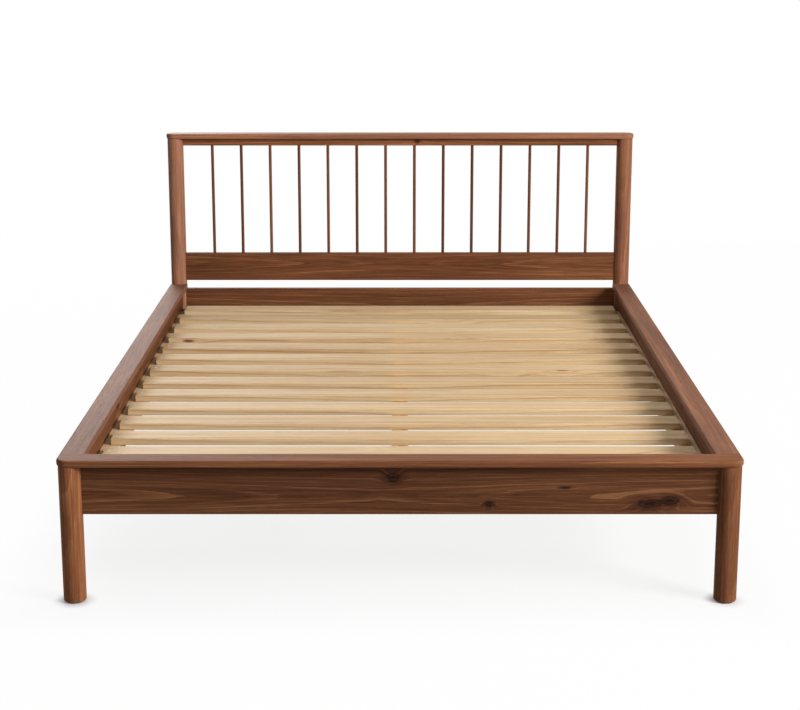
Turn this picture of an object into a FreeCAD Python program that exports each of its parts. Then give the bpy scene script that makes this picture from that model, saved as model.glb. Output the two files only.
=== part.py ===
import FreeCAD, Part
import Sketcher
import math
import os

# Driving dimensions, in millimetres
SIZES = {
    "well_width": 1540,
    "well_length": 2050,
    "leg_diameter": 56,
    "foot_edge_round": 3,
    "cap_overhang": 3,
    "cap_thickness": 18,
    "cap_round": 6,
    "cap_inner_round": 3,
    "cope_setback": 15,
    "rail_bottom": 225,
    "rail_height": 125,
    "rail_thickness": 20,
    "rail_inset": 4,
    "rail_ease": 2,
    "housing_depth": 4,
    "tenon_length": 6,
    "tenon_thickness": 8,
    "tenon_shoulder": 6,
    "headboard_height": 912,
    "upper_rail_height": 25,
    "lower_rail_top": 480,
    "lower_rail_height": 100,
    "spindle_diameter": 10.5,
    "spindle_seat": 12,
    "spindle_count": 14,
    "slat_top": 300,
    "slat_width": 80,
    "slat_thickness": 18,
    "slat_end_gap": 5,
    "slat_count": 14,
    "slat_round": 3,
    "ledger_width": 45,
    "ledger_height": 30,
    "ledger_clearance": 5,
    "beam_width": 45,
    "beam_height": 60,
    "beam_end_gap": 1,
    "hanger_sheet": 2.5,
    "hanger_depth": 40,
    "hanger_height": 45,
    "hanger_flange": 28,
    "hanger_side_gap": 0.3,
    "hanger_screw_margin": 12,
    "bracket_sheet": 3,
    "bracket_web_start": 45,
    "bracket_reach": 85,
    "bracket_lift": 6,
    "bracket_top_gap": 2,
    "bracket_screw_spread": 15,
    "bracket_corner_round": 6,
    "bolt_diameter": 8,
    "bolt_tip": 14,
    "bolt_head_across": 13,
    "bolt_head_height": 5.5,
    "bolt_clearance": 1,
    "insert_diameter": 12,
    "insert_length": 14,
    "insert_sink": 2,
    "screw_diameter": 4.5,
    "screw_head_diameter": 9,
    "screw_head_height": 2.5,
    "screw_bite": 15,
    "dowel_diameter": 8,
    "dowel_length": 20,
    "center_leg_side": 45,
    "center_leg_bottom": 35,
    "center_leg_spread": 600,
    "center_tenon_diameter": 20,
    "center_tenon_length": 25,
    "leveller_diameter": 36,
    "leveller_rim": 8,
    "leveller_round": 2,
    "leveller_boss_diameter": 20,
    "leveller_boss_top": 13,
    "leveller_floor": 4,
    "stud_button_diameter": 10,
    "stud_button_height": 5,
    "stud_hex_bottom": 14,
    "stud_hex_height": 6,
    "stud_top": 70,
    "leveller_travel": 10,
    "glide_diameter": 46,
    "glide_thickness": 3,
    "glide_round": 1,
    "fit_gap": 0.15,
    "thread_gap": 0.1,
    "cut_past": 1,
}

# Places and lengths worked out from the driving dimensions
LAYOUT = {
    "cap_width": "sizes.leg_diameter + 2 * sizes.cap_overhang",
    "cap_half": "cap_width / 2",
    "overall_width": "sizes.well_width + 2 * cap_width",
    "overall_length": "1.5 * cap_width + sizes.well_length + sizes.rail_inset + sizes.rail_thickness / 2",
    "leg_radius": "sizes.leg_diameter / 2",
    "leg_x": "(overall_width - cap_width) / 2",
    "leg_y": "(overall_length - cap_width) / 2",
    "rail_half": "sizes.rail_thickness / 2",
    "rail_x": "leg_x - sizes.rail_inset",
    "rail_y": "leg_y - sizes.rail_inset",
    "rail_inner": "sizes.rail_inset + rail_half",
    "rail_top": "sizes.rail_bottom + sizes.rail_height",
    "shoulder": "leg_radius - sizes.housing_depth",
    "tenon_end": "shoulder - sizes.tenon_length",
    "tenon_half": "sizes.tenon_thickness / 2",
    "post_top": "sizes.headboard_height - sizes.cap_thickness",
    "upper_rail_bottom": "post_top - sizes.upper_rail_height",
    "lower_rail_bottom": "sizes.lower_rail_top - sizes.lower_rail_height",
    "spindle_pitch": "2 * (leg_x - leg_radius) / (sizes.spindle_count + 1)",
    "spindle_first": "-leg_x + leg_radius + spindle_pitch",
    "spindle_bottom": "sizes.lower_rail_top - sizes.spindle_seat",
    "spindle_length": "upper_rail_bottom + sizes.spindle_seat - spindle_bottom",
    "slat_bottom": "sizes.slat_top - sizes.slat_thickness",
    "slat_gap": "(sizes.well_length - sizes.slat_count * sizes.slat_width) / (sizes.slat_count + 1)",
    "slat_pitch": "sizes.slat_width + slat_gap",
    "slat_first": "-overall_length / 2 + cap_width + slat_gap + sizes.slat_width / 2",
    "slat_half_length": "sizes.well_width / 2 - sizes.slat_end_gap",
    "rail_face": "rail_x - rail_half",
    "ledger_inner": "rail_face - sizes.ledger_width",
    "ledger_bottom": "slat_bottom - sizes.ledger_height",
    "ledger_end": "leg_y - sizes.bracket_reach - sizes.ledger_clearance",
    "ledger_middle": "ledger_bottom + sizes.ledger_height / 2",
    "slat_screw_x": "(ledger_inner + slat_half_length) / 2",
    "screw_hole": "sizes.screw_diameter + 2 * sizes.fit_gap",
    "head_hole": "sizes.screw_head_diameter + 2 * sizes.fit_gap",
    "bracket_bottom": "sizes.rail_bottom + sizes.bracket_lift",
    "bracket_height": "slat_bottom - sizes.bracket_top_gap - bracket_bottom",
    "bracket_middle": "bracket_bottom + bracket_height / 2",
    "bracket_face": "rail_inner + sizes.bracket_sheet",
    "bracket_bend": "sizes.bracket_web_start + sizes.bracket_sheet * (sqrt(2) - 1)",
    "bracket_screw": "(bracket_bend + sizes.bracket_reach) / 2",
    "web_seat": "(sizes.bracket_web_start + rail_inner) / sqrt(2) + sizes.bracket_sheet",
    "insert_start": "leg_radius - sizes.insert_sink - sizes.insert_length",
    "beam_half": "sizes.beam_width / 2",
    "beam_bottom": "slat_bottom - sizes.beam_height",
    "beam_half_length": "leg_y - rail_inner - sizes.beam_end_gap",
    "hanger_inner": "beam_half + sizes.hanger_side_gap",
    "hanger_outer": "hanger_inner + sizes.hanger_sheet",
    "hanger_edge": "hanger_inner + sizes.hanger_flange",
    "hanger_screw_x": "(hanger_outer + hanger_edge) / 2",
    "hanger_low_screw": "sizes.rail_bottom + sizes.hanger_screw_margin",
    "hanger_high_screw": "beam_bottom + sizes.hanger_height - sizes.hanger_screw_margin",
    "bolt_hole": "sizes.bolt_diameter + sizes.bolt_clearance",
    "past_leg": "leg_radius + sizes.cut_past",
    "thread_bore": "sizes.bolt_diameter + 2 * sizes.thread_gap",
    "insert_hole": "sizes.insert_diameter + 2 * sizes.fit_gap",
    "socket_top": "sizes.leveller_floor + sizes.stud_button_height + sizes.thread_gap",
    "button_bottom": "sizes.leveller_floor + sizes.thread_gap",
    "button_height": "sizes.stud_button_height - sizes.thread_gap",
    "dowel_half": "sizes.dowel_length / 2",
    "dowel_hole": "sizes.dowel_diameter + 2 * sizes.fit_gap",
    "dowel_pocket": "dowel_half + sizes.fit_gap",
}

CAP_DOWELS_ACROSS = 7
CAP_DOWELS_ALONG = 6

doc = FreeCAD.newDocument("bed_frame")
sizes = doc.addObject("Spreadsheet::Sheet", "sizes")
layout = doc.addObject("Spreadsheet::Sheet", "layout")
nodes = []


def fill(sheet, rows, lead):
    for row, (alias, content) in enumerate(rows.items(), 1):
        sheet.set(f"A{row}", alias)
        sheet.set(f"B{row}", lead + str(content))
        sheet.setAlias(f"B{row}", alias)
    doc.recompute()


def value(expression):
    return float(sizes.evalExpression(expression))


def origin(body, role):
    return next(item for item in body.Origin.OriginFeatures if item.Role == role)


def place(item, x, y, z):
    for axis, expression in zip("xyz", (x, y, z)):
        item.setExpression(f"Placement.Base.{axis}", expression)


def new_body(label, x="0", y="0", z="0", node=True):
    body = doc.addObject("PartDesign::Body", label)
    body.Label = label
    body.AllowCompound = True
    place(body, x, y, z)
    if node:
        nodes.append(body)
    return body


def new_sketch(body, plane, offset="0"):
    sketch = body.newObject("Sketcher::SketchObject", "sketch")
    sketch.AttachmentSupport = [(origin(body, plane), "")]
    sketch.MapMode = "FlatFace"
    sketch.setExpression("AttachmentOffset.Base.z", offset)
    return sketch


# Ties one point of a sketch to a place given by two expressions
def pin(sketch, geometry, point, x, y):
    for kind, axis, expression in (("DistanceX", -2, x), ("DistanceY", -1, y)):
        if expression == "0":
            sketch.addConstraint(Sketcher.Constraint("PointOnObject", geometry, point, axis))
            continue
        index = sketch.addConstraint(Sketcher.Constraint(kind, -1, 1, geometry, point, value(expression)))
        sketch.setExpression(f"Constraints[{index}]", expression)


def polygon(sketch, points):
    corners = [FreeCAD.Vector(value(x), value(y), 0) for x, y in points]
    first = sketch.GeometryCount
    count = len(points)
    for index in range(count):
        sketch.addGeometry(Part.LineSegment(corners[index], corners[(index + 1) % count]), False)
    for index in range(count):
        following = first + (index + 1) % count
        sketch.addConstraint(Sketcher.Constraint("Coincident", first + index, 2, following, 1))
    for index, (x, y) in enumerate(points):
        pin(sketch, first + index, 1, x, y)


def rectangle(sketch, left, low, right, high):
    polygon(sketch, [(left, low), (right, low), (right, high), (left, high)])


def circles(sketch, centers, diameter):
    for x, y in centers:
        middle = FreeCAD.Vector(value(x), value(y), 0)
        circle = Part.Circle(middle, FreeCAD.Vector(0, 0, 1), value(diameter) / 2)
        index = sketch.addGeometry(circle, False)
        pin(sketch, index, 3, x, y)
        size = sketch.addConstraint(Sketcher.Constraint("Diameter", index, value(diameter)))
        sketch.setExpression(f"Constraints[{size}]", diameter)


def hexagon(sketch, across):
    half = f"({across}) / 2"
    side = f"({across}) / 2 / sqrt(3)"
    tip = f"({across}) / sqrt(3)"
    polygon(sketch, [
        (tip, "0"), (side, half), (f"-{side}", half),
        (f"-{tip}", "0"), (f"-{side}", f"-{half}"), (side, f"-{half}"),
    ])


def pad(body, sketch, length, reverse=False):
    feature = body.newObject("PartDesign::Pad", "pad")
    feature.Profile = sketch
    feature.setExpression("Length", length)
    feature.Reversed = reverse
    body.Tip = feature
    doc.recompute()
    return feature


def pocket(body, sketch, depth, reverse=False):
    before = body.Shape.Volume
    feature = body.newObject("PartDesign::Pocket", "pocket")
    feature.Profile = sketch
    feature.setExpression("Length", depth)
    feature.Reversed = reverse
    body.Tip = feature
    doc.recompute()
    if body.Shape.Volume > before - 0.1:
        raise RuntimeError(f"{body.Label}: a pocket cuts nothing")
    return feature


def drill(body, plane, offset, centers, diameter, depth, reverse=False):
    sketch = new_sketch(body, plane, offset)
    circles(sketch, centers, diameter)
    return pocket(body, sketch, depth, reverse)


def rods(body, plane, offset, centers, diameter, length, reverse=False):
    sketch = new_sketch(body, plane, offset)
    circles(sketch, centers, diameter)
    return pad(body, sketch, length, reverse)


# Rounds the edges of the body so far that pass a test on their bounding box
def round_edges(body, radius, test):
    base = body.Tip
    names = [f"Edge{number}" for number, edge in enumerate(base.Shape.Edges, 1) if test(edge.BoundBox)]
    feature = body.newObject("PartDesign::Fillet", "fillet")
    feature.Base = (base, names)
    feature.setExpression("Radius", radius)
    body.Tip = feature
    doc.recompute()
    return feature


# Rounds the middle stretch of the top edge at the back of a board that lies along X
def stopped_round(body, edge, top, stretch, radius):
    sketch = new_sketch(body, "YZ_Plane", f"-{stretch} / 2")
    corner = FreeCAD.Vector(value(edge), value(top), 0)
    reach = value(radius)
    start = corner - FreeCAD.Vector(reach, 0, 0)
    end = corner - FreeCAD.Vector(0, reach, 0)
    middle = corner - FreeCAD.Vector(reach, reach, 0)
    sketch.addGeometry(Part.LineSegment(start, corner), False)
    sketch.addGeometry(Part.LineSegment(corner, end), False)
    circle = Part.Circle(middle, FreeCAD.Vector(0, 0, 1), reach)
    sketch.addGeometry(Part.ArcOfCircle(circle, 0, math.pi / 2), False)
    for first, second in (((0, 2), (1, 1)), ((1, 2), (2, 1)), ((2, 2), (0, 1))):
        sketch.addConstraint(Sketcher.Constraint("Coincident", *first, *second))
    pin(sketch, 0, 2, edge, top)
    pin(sketch, 0, 1, f"{edge} - {radius}", top)
    pin(sketch, 1, 2, edge, f"{top} - {radius}")
    size = sketch.addConstraint(Sketcher.Constraint("Radius", 2, reach))
    sketch.setExpression(f"Constraints[{size}]", radius)
    pocket(body, sketch, stretch, True)


def near(first, second):
    return abs(first - second) < 0.01


def level(box):
    return box.ZLength < 0.01


def mirror(source, label, normal, node=True):
    copy = doc.addObject("Part::Mirroring", label)
    copy.Label = label
    copy.Source = source
    copy.Normal = normal
    if node:
        nodes.append(copy)
    return copy


ACROSS = FreeCAD.Vector(1, 0, 0)
ALONG = FreeCAD.Vector(0, 1, 0)


def group(label, members):
    compound = doc.addObject("Part::Compound", label)
    compound.Label = label
    compound.Links = members
    nodes.append(compound)
    return compound


def four_corners(label, body, others=()):
    right = mirror(body, f"{label}_right", ACROSS, node=False)
    head = mirror(body, f"{label}_head", ALONG, node=False)
    head_right = mirror(right, f"{label}_head_right", ALONG, node=False)
    return group(label, [body, right, head, head_right, *others])


fill(sizes, SIZES, "")
fill(layout, LAYOUT, "=")

SPINDLES = [
    f"layout.spindle_first + {index} * layout.spindle_pitch"
    for index in range(int(value("sizes.spindle_count")))
]
SLATS = [
    f"layout.slat_first + {index} * layout.slat_pitch"
    for index in range(int(value("sizes.slat_count")))
]
LEDGER_SCREWS = [f"{slat} + layout.slat_pitch / 2" for slat in SLATS[:-1:2]]
DOWELS_ACROSS = [
    f"layout.leg_x * ({2 * index} / {CAP_DOWELS_ACROSS - 1} - 1)"
    if 2 * index != CAP_DOWELS_ACROSS - 1 else "0"
    for index in range(CAP_DOWELS_ACROSS)
]
DOWELS_ALONG = [
    f"layout.ledger_end * ({2 * index} / {CAP_DOWELS_ALONG - 1} - 1)" for index in range(CAP_DOWELS_ALONG)
]


# Boards between legs, with a tenon at each end; their length runs along X or along Y
def rail(label, plane, half_length, height, y="0", z="sizes.rail_bottom", x="0", ease_top=True):
    body = new_body(label, x, y, z)
    reach = f"({half_length} - layout.shoulder)"
    tenon_reach = f"({half_length} - layout.tenon_end)"
    section = new_sketch(body, plane, f"-{reach}")
    rectangle(section, "-layout.rail_half", "0", "layout.rail_half", height)
    pad(body, section, f"2 * {reach}")
    top = value(height) if ease_top else 0
    long_side = value(f"2 * {reach}") - 0.01
    round_edges(
        body, "sizes.rail_ease",
        lambda box: box.DiagonalLength > long_side and level(box) and box.ZMax < top + 0.01,
    )
    tenon = new_sketch(body, plane, f"-{tenon_reach}")
    rectangle(tenon, "-layout.tenon_half", "sizes.tenon_shoulder", "layout.tenon_half",
              f"{height} - sizes.tenon_shoulder")
    pad(body, tenon, f"2 * {tenon_reach}")
    return body


# Holes for the bracket screws near both ends of a rail, on its inner face
def bracket_holes(body, plane, offset, half_length, reverse):
    centers = [
        (f"{side}({half_length} - layout.bracket_screw)",
         f"layout.bracket_middle - sizes.rail_bottom {sign} sizes.bracket_screw_spread")
        for side in ("", "-") for sign in "+-"
    ]
    drill(body, plane, offset, centers, "layout.screw_hole", "sizes.screw_bite + sizes.fit_gap", reverse)


HANGER_SCREWS = [
    (f"{side}layout.hanger_screw_x", height)
    for side in ("", "-") for height in ("layout.hanger_low_screw", "layout.hanger_high_screw")
]


# Holes for the screws of the beam hanger in the middle of a rail
def hanger_holes(body, offset, reverse):
    centers = [(x, f"{height} - sizes.rail_bottom") for x, height in HANGER_SCREWS]
    drill(body, "XZ_Plane", offset, centers,
          "layout.screw_hole", "sizes.screw_bite + sizes.fit_gap", reverse)


foot_rail = rail("foot_rail", "YZ_Plane", "layout.leg_x", "sizes.rail_height",
                 y="-layout.rail_y", ease_top=False)
drill(foot_rail, "XY_Plane", "sizes.rail_height", [(x, "0") for x in DOWELS_ACROSS[1:-1]],
      "layout.dowel_hole", "layout.dowel_pocket")
bracket_holes(foot_rail, "XZ_Plane", "-layout.rail_half", "layout.leg_x", True)
hanger_holes(foot_rail, "-layout.rail_half", True)

cross_rail = rail("headboard_cross_rail", "YZ_Plane", "layout.leg_x", "sizes.rail_height",
                  y="layout.rail_y")
bracket_holes(cross_rail, "XZ_Plane", "layout.rail_half", "layout.leg_x", False)
hanger_holes(cross_rail, "layout.rail_half", False)

lower_rail = rail("headboard_lower_rail", "YZ_Plane", "layout.leg_x", "sizes.lower_rail_height",
                  y="layout.leg_y", z="layout.lower_rail_bottom")
drill(lower_rail, "XY_Plane", "sizes.lower_rail_height", [(x, "0") for x in SPINDLES],
      "sizes.spindle_diameter + 2 * sizes.fit_gap", "sizes.spindle_seat")

upper_rail = rail("headboard_upper_rail", "YZ_Plane", "layout.leg_x", "sizes.upper_rail_height",
                  y="layout.leg_y", z="layout.upper_rail_bottom", ease_top=False)
drill(upper_rail, "XY_Plane", "0", [(x, "0") for x in SPINDLES],
      "sizes.spindle_diameter + 2 * sizes.fit_gap", "sizes.spindle_seat", True)
drill(upper_rail, "XY_Plane", "sizes.upper_rail_height", [(x, "0") for x in DOWELS_ACROSS[1:-1]],
      "layout.dowel_hole", "layout.dowel_pocket")

side_rail = rail("side_rail_left", "XZ_Plane", "layout.leg_y", "sizes.rail_height",
                 x="-layout.rail_x", ease_top=False)
drill(side_rail, "XY_Plane", "sizes.rail_height", [("0", y) for y in DOWELS_ALONG],
      "layout.dowel_hole", "layout.dowel_pocket")
bracket_holes(side_rail, "YZ_Plane", "layout.rail_half", "layout.leg_y", False)
drill(side_rail, "YZ_Plane", "layout.rail_half",
      [(y, "layout.ledger_middle - sizes.rail_bottom") for y in LEDGER_SCREWS],
      "layout.screw_hole", "sizes.screw_bite + sizes.fit_gap")
mirror(side_rail, "side_rail_right", ACROSS)


# Flat-bottomed seat and mortise that take the end of a rail; turn maps (out, across) to (x, y)
def rail_seat(body, turn, bottom, height, inset="0"):
    far = f"{inset} - layout.rail_half - sizes.fit_gap"
    near_side = f"{inset} + layout.rail_half + sizes.fit_gap"
    seat = new_sketch(body, "XY_Plane", f"{bottom} + {height} + sizes.fit_gap")
    corners = [("layout.shoulder", far), ("layout.past_leg", far),
               ("layout.past_leg", near_side), ("layout.shoulder", near_side)]
    polygon(seat, [turn(out, across) for out, across in corners])
    pocket(body, seat, f"{height} + sizes.fit_gap")
    far = f"{inset} - layout.tenon_half - sizes.fit_gap"
    near_side = f"{inset} + layout.tenon_half + sizes.fit_gap"
    inner = "(layout.tenon_end - sizes.fit_gap)"
    mortise = new_sketch(body, "XY_Plane", f"{bottom} + {height} - sizes.tenon_shoulder + sizes.fit_gap")
    corners = [(inner, far), ("layout.leg_radius", far),
               ("layout.leg_radius", near_side), (inner, near_side)]
    polygon(mortise, [turn(out, across) for out, across in corners])
    pocket(body, mortise, f"{height} - 2 * sizes.tenon_shoulder + 2 * sizes.fit_gap")


def inward(out, across):
    return out, across


def headward(out, across):
    return across, out


def footward(out, across):
    return across, f"-({out})"


# Round legs: left ones are modelled and mirrored; the insert's hole points at the corner inside the bed
def leg(label, top, y, along, end_inset, hole_angle, hole_reverse):
    body = new_body(label, "-layout.leg_x", y)
    rods(body, "XY_Plane", "sizes.glide_thickness", [("0", "0")], "sizes.leg_diameter",
         f"{top} - sizes.glide_thickness")
    foot = value("sizes.glide_thickness")
    round_edges(body, "sizes.foot_edge_round", lambda box: level(box) and near(box.ZMax, foot))
    rail_seat(body, inward, "sizes.rail_bottom", "sizes.rail_height", end_inset)
    rail_seat(body, along, "sizes.rail_bottom", "sizes.rail_height", "sizes.rail_inset")
    drill(body, "XY_Plane", top, [("0", "0")], "layout.dowel_hole", "layout.dowel_pocket")
    hole = new_sketch(body, "XZ_Plane")
    hole.AttachmentOffset = FreeCAD.Placement(FreeCAD.Vector(), FreeCAD.Rotation(ALONG, hole_angle))
    circles(hole, [("0", "layout.bracket_middle")], "layout.insert_hole")
    pocket(body, hole, "layout.past_leg", hole_reverse)
    return body


foot_leg = leg("foot_leg_left", "layout.rail_top", "-layout.leg_y", headward,
               "sizes.rail_inset", -45, False)
mirror(foot_leg, "foot_leg_right", ACROSS)

post = leg("headboard_post_left", "layout.post_top", "layout.leg_y", footward,
           "-sizes.rail_inset", 45, True)
rail_seat(post, inward, "layout.lower_rail_bottom", "sizes.lower_rail_height")
rail_seat(post, inward, "layout.upper_rail_bottom", "sizes.upper_rail_height")
mirror(post, "headboard_post_right", ACROSS)

# Spindles
for number, x in enumerate(SPINDLES, 1):
    spindle = new_body(f"spindle_{number:02d}", x, "layout.leg_y", "layout.spindle_bottom")
    rods(spindle, "XY_Plane", "0", [("0", "0")], "sizes.spindle_diameter", "layout.spindle_length")

# Headboard cap with half-round ends
headboard_cap = new_body("headboard_cap", "0", "layout.leg_y", "layout.post_top")
outline = new_sketch(headboard_cap, "XY_Plane")
rectangle(outline, "-layout.leg_x", "-layout.cap_half", "layout.leg_x", "layout.cap_half")
pad(headboard_cap, outline, "sizes.cap_thickness")
rods(headboard_cap, "XY_Plane", "0", [("-layout.leg_x", "0"), ("layout.leg_x", "0")],
     "layout.cap_width", "sizes.cap_thickness")
round_edges(headboard_cap, "sizes.cap_round", level)
drill(headboard_cap, "XY_Plane", "0", [(x, "0") for x in DOWELS_ACROSS],
      "layout.dowel_hole", "layout.dowel_pocket", True)

# Foot cap, its front corners concentric with the legs
foot_cap = new_body("foot_cap", "0", "-layout.leg_y", "layout.rail_top")
outline = new_sketch(foot_cap, "XY_Plane")
rectangle(outline, "-layout.overall_width / 2", "-layout.cap_half",
          "layout.overall_width / 2", "layout.cap_half")
pad(foot_cap, outline, "sizes.cap_thickness")
front = -value("layout.cap_half")
round_edges(foot_cap, "layout.cap_half", lambda box: not level(box) and near(box.YMax, front))
back = value("layout.cap_half")
round_edges(foot_cap, "sizes.cap_round", lambda box: level(box) and not near(box.YMin, back))
stopped_round(foot_cap, "layout.cap_half", "sizes.cap_thickness",
              "sizes.well_width", "sizes.cap_inner_round")
foot_spots = [(x, "sizes.rail_inset") for x in DOWELS_ACROSS[1:-1]]
leg_spots = [(x, "0") for x in (DOWELS_ACROSS[0], DOWELS_ACROSS[-1])]
drill(foot_cap, "XY_Plane", "0", foot_spots + leg_spots,
      "layout.dowel_hole", "layout.dowel_pocket", True)

# Side caps, cut round the posts at the head end
side_cap = new_body("side_cap_left", "-layout.leg_x", "0", "layout.rail_top")
outline = new_sketch(side_cap, "XY_Plane")
rectangle(outline, "-layout.cap_half", "layout.cap_half - layout.leg_y", "layout.cap_half",
          "layout.leg_y - sizes.cope_setback")
pad(side_cap, outline, "sizes.cap_thickness")
drill(side_cap, "XY_Plane", "sizes.cap_thickness", [("0", "layout.leg_y")],
      "sizes.leg_diameter + 2 * sizes.fit_gap", "sizes.cap_thickness")
outer = -value("layout.cap_half")
inner = value("layout.cap_half")
round_edges(side_cap, "sizes.cap_round", lambda box: level(box) and near(box.XMax, outer))
round_edges(side_cap, "sizes.cap_inner_round", lambda box: level(box) and near(box.XMin, inner))
drill(side_cap, "XY_Plane", "0", [("sizes.rail_inset", y) for y in DOWELS_ALONG],
      "layout.dowel_hole", "layout.dowel_pocket", True)
mirror(side_cap, "side_cap_right", ACROSS)

cap_dowels = new_body("cap_dowels")
foot_row = [(x, f"{y} - layout.leg_y") for x, y in foot_spots + leg_spots]
head_row = [(x, "layout.leg_y") for x in DOWELS_ACROSS]
side_rows = [(f"{side}layout.rail_x", y) for side in ("", "-") for y in DOWELS_ALONG]
rods(cap_dowels, "XY_Plane", "layout.rail_top - layout.dowel_half", foot_row + side_rows,
     "sizes.dowel_diameter", "sizes.dowel_length")
rods(cap_dowels, "XY_Plane", "layout.post_top - layout.dowel_half", head_row,
     "sizes.dowel_diameter", "sizes.dowel_length")

leg_glides = new_body("leg_glides")
rods(leg_glides, "XY_Plane", "0",
     [(f"{x}layout.leg_x", f"{y}layout.leg_y") for x in ("", "-") for y in ("", "-")],
     "sizes.glide_diameter", "sizes.glide_thickness")
round_edges(leg_glides, "sizes.glide_round", level)

# Ledgers on the side rails carry the ends of the slats
ledger = new_body("slat_ledger_left", "-layout.rail_face", "0", "layout.ledger_bottom")
section = new_sketch(ledger, "XZ_Plane", "-layout.ledger_end")
rectangle(section, "0", "0", "sizes.ledger_width", "sizes.ledger_height")
pad(ledger, section, "2 * layout.ledger_end")
free_side = value("sizes.ledger_width")
round_edges(ledger, "sizes.rail_ease", lambda box: level(box) and near(box.XMin, free_side))
drill(ledger, "YZ_Plane", "sizes.ledger_width", [(y, "sizes.ledger_height / 2") for y in LEDGER_SCREWS],
      "layout.screw_hole", "sizes.ledger_width")
drill(ledger, "XY_Plane", "sizes.ledger_height",
      [("layout.rail_face - layout.slat_screw_x", y) for y in SLATS],
      "layout.screw_hole", "sizes.screw_bite + sizes.fit_gap")
mirror(ledger, "slat_ledger_right", ACROSS)

ledger_screws = new_body("ledger_screws_left", "-layout.ledger_inner", "0", "layout.ledger_middle",
                         node=False)
row = [(y, "0") for y in LEDGER_SCREWS]
rods(ledger_screws, "YZ_Plane", "0", row, "sizes.screw_diameter",
     "sizes.ledger_width + sizes.screw_bite", True)
rods(ledger_screws, "YZ_Plane", "0", row, "sizes.screw_head_diameter", "sizes.screw_head_height")
group("ledger_screws", [ledger_screws, mirror(ledger_screws, "ledger_screws_right", ACROSS, node=False)])

# Slats
for number, y in enumerate(SLATS, 1):
    slat = new_body(f"slat_{number:02d}", "0", y, "layout.slat_bottom")
    section = new_sketch(slat, "YZ_Plane", "-layout.slat_half_length")
    rectangle(section, "-sizes.slat_width / 2", "0", "sizes.slat_width / 2", "sizes.slat_thickness")
    pad(slat, section, "2 * layout.slat_half_length")
    long_side = value("2 * layout.slat_half_length") - 0.01
    round_edges(slat, "sizes.slat_round", lambda box: box.XLength > long_side)
    ends = [("-layout.slat_screw_x", "0"), ("layout.slat_screw_x", "0")]
    drill(slat, "XY_Plane", "sizes.slat_thickness", ends, "layout.screw_hole", "sizes.slat_thickness")
    drill(slat, "XY_Plane", "sizes.slat_thickness", ends, "layout.head_hole", "sizes.screw_head_height")

slat_screws = new_body("slat_screws", "0", "0", "sizes.slat_top")
ends = [(f"{side}layout.slat_screw_x", y) for side in ("", "-") for y in SLATS]
rods(slat_screws, "XY_Plane", "0", ends, "sizes.screw_diameter",
     "sizes.slat_thickness + sizes.screw_bite", True)
rods(slat_screws, "XY_Plane", "0", ends, "sizes.screw_head_diameter", "sizes.screw_head_height", True)

# Beam under the middle of the slats, hung on the end rails and carried by two legs
CENTER_LEGS = {"front": "-sizes.center_leg_spread / 2", "rear": "sizes.center_leg_spread / 2"}
beam = new_body("center_beam", "0", "0", "layout.beam_bottom")
section = new_sketch(beam, "XZ_Plane", "-layout.beam_half_length")
rectangle(section, "-layout.beam_half", "0", "layout.beam_half", "sizes.beam_height")
pad(beam, section, "2 * layout.beam_half_length")
long_side = value("2 * layout.beam_half_length") - 0.01
round_edges(beam, "sizes.rail_ease", lambda box: box.YLength > long_side)
drill(beam, "XY_Plane", "0", [("0", y) for y in CENTER_LEGS.values()],
      "sizes.center_tenon_diameter + 2 * sizes.fit_gap", "sizes.center_tenon_length + sizes.fit_gap", True)

hanger = new_body("beam_hanger_foot", "0", "layout.rail_half - layout.rail_y", "layout.beam_bottom",
                  node=False)
floor = new_sketch(hanger, "XY_Plane")
rectangle(floor, "-layout.hanger_outer", "0", "layout.hanger_outer", "sizes.hanger_depth")
pad(hanger, floor, "sizes.hanger_sheet", True)
walls = new_sketch(hanger, "XY_Plane")
for side in ("", "-"):
    polygon(walls, [
        (f"{side}layout.hanger_inner", "0"),
        (f"{side}layout.hanger_edge", "0"),
        (f"{side}layout.hanger_edge", "sizes.hanger_sheet"),
        (f"{side}layout.hanger_outer", "sizes.hanger_sheet"),
        (f"{side}layout.hanger_outer", "sizes.hanger_depth"),
        (f"{side}layout.hanger_inner", "sizes.hanger_depth"),
    ])
pad(hanger, walls, "sizes.hanger_height")
hanger_spots = [(x, f"{height} - layout.beam_bottom") for x, height in HANGER_SCREWS]
drill(hanger, "XZ_Plane", "-sizes.hanger_sheet", hanger_spots,
      "layout.screw_hole", "sizes.hanger_sheet", True)
group("beam_hangers", [hanger, mirror(hanger, "beam_hanger_head", ALONG, node=False)])

hanger_screws = new_body("hanger_screws_foot", "0", "layout.rail_half + sizes.hanger_sheet - layout.rail_y",
                         node=False)
rods(hanger_screws, "XZ_Plane", "0", HANGER_SCREWS, "sizes.screw_diameter",
     "sizes.hanger_sheet + sizes.screw_bite")
rods(hanger_screws, "XZ_Plane", "0", HANGER_SCREWS, "sizes.screw_head_diameter",
     "sizes.screw_head_height", True)
hanger_screw_sets = [hanger_screws, mirror(hanger_screws, "hanger_screws_head", ALONG, node=False)]

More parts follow.
